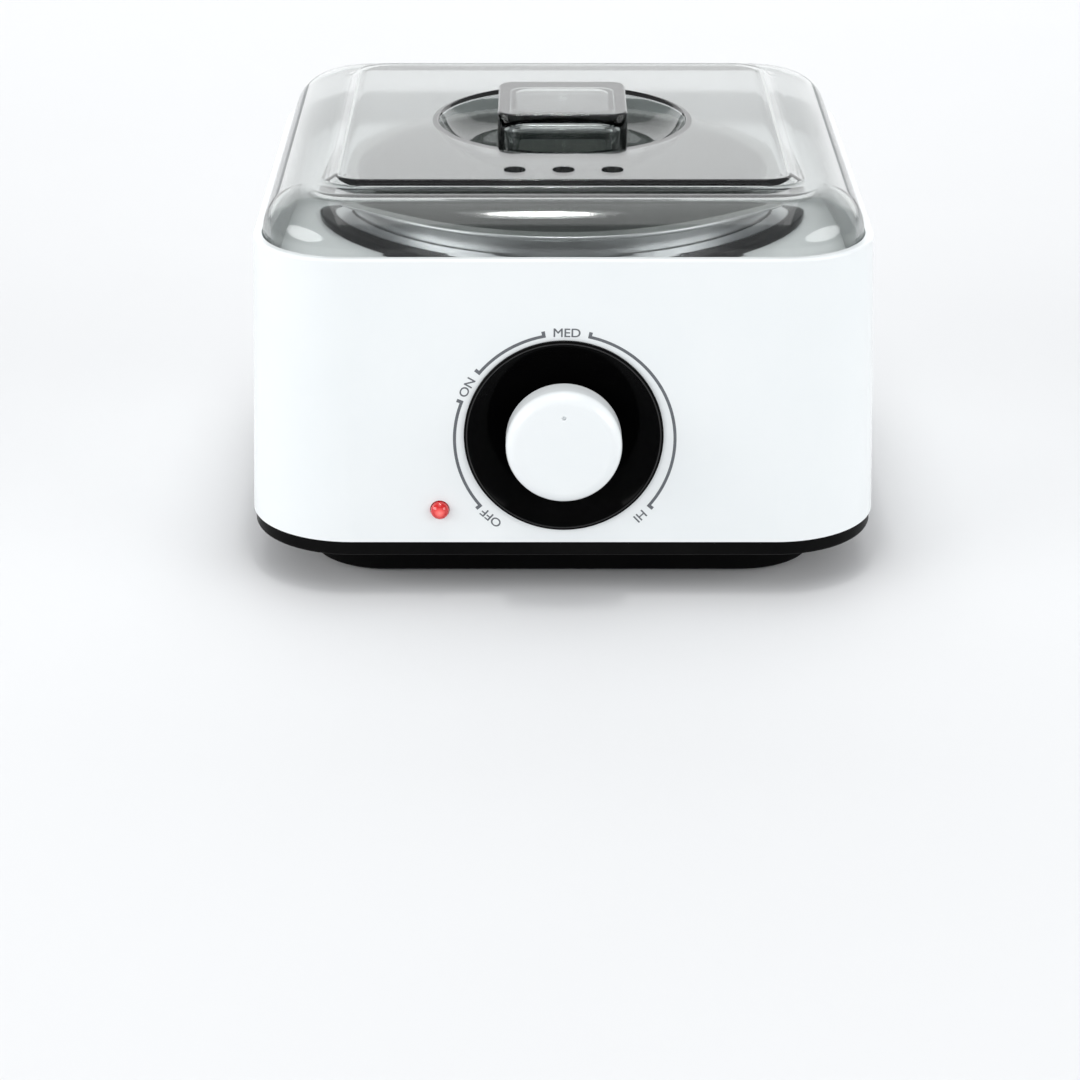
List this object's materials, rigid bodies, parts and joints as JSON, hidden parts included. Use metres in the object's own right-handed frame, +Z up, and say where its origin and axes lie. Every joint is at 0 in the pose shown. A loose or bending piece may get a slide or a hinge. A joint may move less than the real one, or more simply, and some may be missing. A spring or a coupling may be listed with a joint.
{
  "type": "wax warmer",
  "caption": "Square heated wax warmer with a lift-out pot under a clear lid, a front heat dial in a round bowl, an indicator lamp and a set-back base.",
  "frame": {"origin": "on the table under the pot's axis, level with the undersides of the feet", "axes": "+Z up, -Y out of the front face that carries the dial, +X to the right of a person facing the dial"},
  "size_m": [0.18, 0.194, 0.1214],
  "materials": {
    "white_gloss": "glossy white moulding",
    "black_satin": "satin black moulding",
    "black_gloss": "glossy black moulding",
    "smoke_clear": "clear smoke-grey moulding",
    "pot_coating": "dark non-stick coating on aluminium",
    "well_metal": "spun aluminium",
    "steel": "zinc-plated steel",
    "band_metal": "heat-tinted steel sheath",
    "brass": "plain brass",
    "steatite": "unglazed ceramic",
    "red_lens": "clear red lens",
    "rubber": "soft black rubber",
    "glass_sleeve": "woven glass-fibre sleeve",
    "wire_white": "white silicone insulation",
    "wire_brown": "brown silicone insulation",
    "wire_blue": "blue silicone insulation",
    "wire_grey": "thin grey insulation"
  },
  "bodies": {
    "housing": {"housing": "white_gloss", "top_deck": "white_gloss", "base_tray": "black_satin", "dial_bezel": "black_gloss", "well_ring": "black_gloss", "heating_well": "well_metal", "thermal_fuse": "well_metal", "base_screws": "steel", "band_clamp": "steel", "clamp_bolt": "steel", "clamp_nut": "steel", "hold_down_bracket": "steel", "stud_nut": "steel", "bracket_screws": "steel", "thermostat_bracket": "steel", "thermostat_nut": "steel", "fuse_clip": "steel", "indicator_clip": "steel", "heater_band": "band_metal", "terminal_screws": "brass", "thermostat": "steatite", "terminal_block": "steatite", "indicator_lamp": "red_lens", "feet": "rubber", "cord_gland": "rubber", "fuse_sleeve": "glass_sleeve", "heater_wire": "wire_white", "fuse_wire": "wire_white", "live_wire": "wire_brown", "neutral_wire": "wire_blue", "indicator_wires": "wire_grey"},
    "knob": {"thermostat_shaft": "steel", "knob_hub": "black_satin", "knob_cap": "white_gloss"},
    "pot": {"pot": "pot_coating"},
    "lid": {"lid": "smoke_clear"}
  },
  "joints": [
    {"name": "knob_turn", "type": "hinge", "parent": "housing", "child": "knob", "pos_m": [0, -0.08885, 0.0486], "axis": [0, 0.9993, -0.0363], "range_deg": [-139, 137]},
    {"name": "pot_lift", "type": "slide", "parent": "housing", "child": "pot", "axis": [0, 0, 1], "range_m": [0, 0.075]},
    {"name": "lid_lift", "type": "slide", "parent": "pot", "child": "lid", "axis": [0, 0, 1], "range_m": [0, 0.06]}
  ]
}
